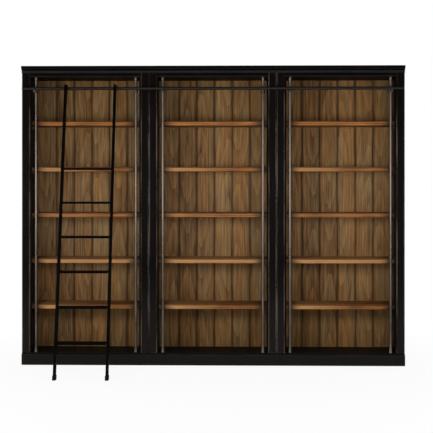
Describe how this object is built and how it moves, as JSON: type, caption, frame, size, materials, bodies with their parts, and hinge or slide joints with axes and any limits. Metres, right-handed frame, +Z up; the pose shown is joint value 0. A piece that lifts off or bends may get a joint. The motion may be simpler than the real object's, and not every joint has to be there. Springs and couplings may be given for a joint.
{
  "type": "modular bookcase",
  "caption": "Tall modular bookcase of joined open cases with planked backs, thick wooden shelves, steel front posts and a rail along which a hook-on ladder slides.",
  "frame": {"origin": "middle of the whole part's footprint on the floor, ladder included", "axes": "+X along the fronts to the viewer's right, +Y from the fronts to the backs, +Z up"},
  "size_m": [3.048, 0.9478, 2.388],
  "materials": {
    "black_painted_wood": "black paint rubbed through along the edges",
    "plank_wood": "stained softwood boards, waxed",
    "shelf_wood": "stained and waxed, warm brown",
    "post_steel": "dull antique steel",
    "rail_metal": "dark bronze powder coat",
    "ladder_metal": "black powder coat",
    "zinc_steel": "bright zinc plating",
    "saddle_nylon": "black nylon",
    "glide_plastic": "dark brown polyethylene",
    "foot_rubber": "black moulded rubber"
  },
  "bodies": {
    "bookcase": {"left_case_left_side": "black_painted_wood", "left_case_right_side": "black_painted_wood", "left_case_stiles": "black_painted_wood", "left_case_frieze": "black_painted_wood", "left_case_crown": "black_painted_wood", "left_case_base_skirt": "black_painted_wood", "left_case_top_board": "black_painted_wood", "left_case_deck": "black_painted_wood", "left_case_back_planks": "plank_wood", "left_case_shelf_1": "shelf_wood", "left_case_shelf_2": "shelf_wood", "left_case_shelf_3": "shelf_wood", "left_case_shelf_4": "shelf_wood", "left_case_shelf_5": "shelf_wood", "left_case_posts": "post_steel", "left_rail": "rail_metal", "middle_case_left_side": "black_painted_wood", "middle_case_right_side": "black_painted_wood", "middle_case_stiles": "black_painted_wood", "middle_case_frieze": "black_painted_wood", "middle_case_crown": "black_painted_wood", "middle_case_base_skirt": "black_painted_wood", "middle_case_top_board": "black_painted_wood", "middle_case_deck": "black_painted_wood", "middle_case_back_planks": "plank_wood", "middle_case_shelf_1": "shelf_wood", "middle_case_shelf_2": "shelf_wood", "middle_case_shelf_3": "shelf_wood", "middle_case_shelf_4": "shelf_wood", "middle_case_shelf_5": "shelf_wood", "middle_case_posts": "post_steel", "middle_rail": "rail_metal", "right_case_left_side": "black_painted_wood", "right_case_right_side": "black_painted_wood", "right_case_stiles": "black_painted_wood", "right_case_frieze": "black_painted_wood", "right_case_crown": "black_painted_wood", "right_case_base_skirt": "black_painted_wood", "right_case_top_board": "black_painted_wood", "right_case_deck": "black_painted_wood", "right_case_back_planks": "plank_wood", "right_case_shelf_1": "shelf_wood", "right_case_shelf_2": "shelf_wood", "right_case_shelf_3": "shelf_wood", "right_case_shelf_4": "shelf_wood", "right_case_shelf_5": "shelf_wood", "right_case_posts": "post_steel", "right_rail": "rail_metal", "shelf_cleats": "zinc_steel", "rail_brackets": "post_steel", "rail_couplers": "zinc_steel", "rail_end_caps": "rail_metal", "floor_glides": "glide_plastic", "connector_bolts": "zinc_steel"},
    "ladder_saddles": {"rail_saddles": "saddle_nylon"},
    "ladder": {"ladder_left_stringer": "ladder_metal", "ladder_right_stringer": "ladder_metal", "ladder_treads": "ladder_metal", "ladder_hooks": "ladder_metal", "ladder_feet": "foot_rubber"}
  },
  "joints": [
    {"name": "ladder_slide", "type": "slide", "parent": "bookcase", "child": "ladder_saddles", "axis": [1, 0, 0], "range_m": [-0.335, 2.265]},
    {"name": "ladder_swing", "type": "hinge", "parent": "ladder_saddles", "child": "ladder", "pos_m": [-0.965, 0.10394, 2.207], "axis": [-1, 0, 0], "range_deg": [0, 25]}
  ]
}
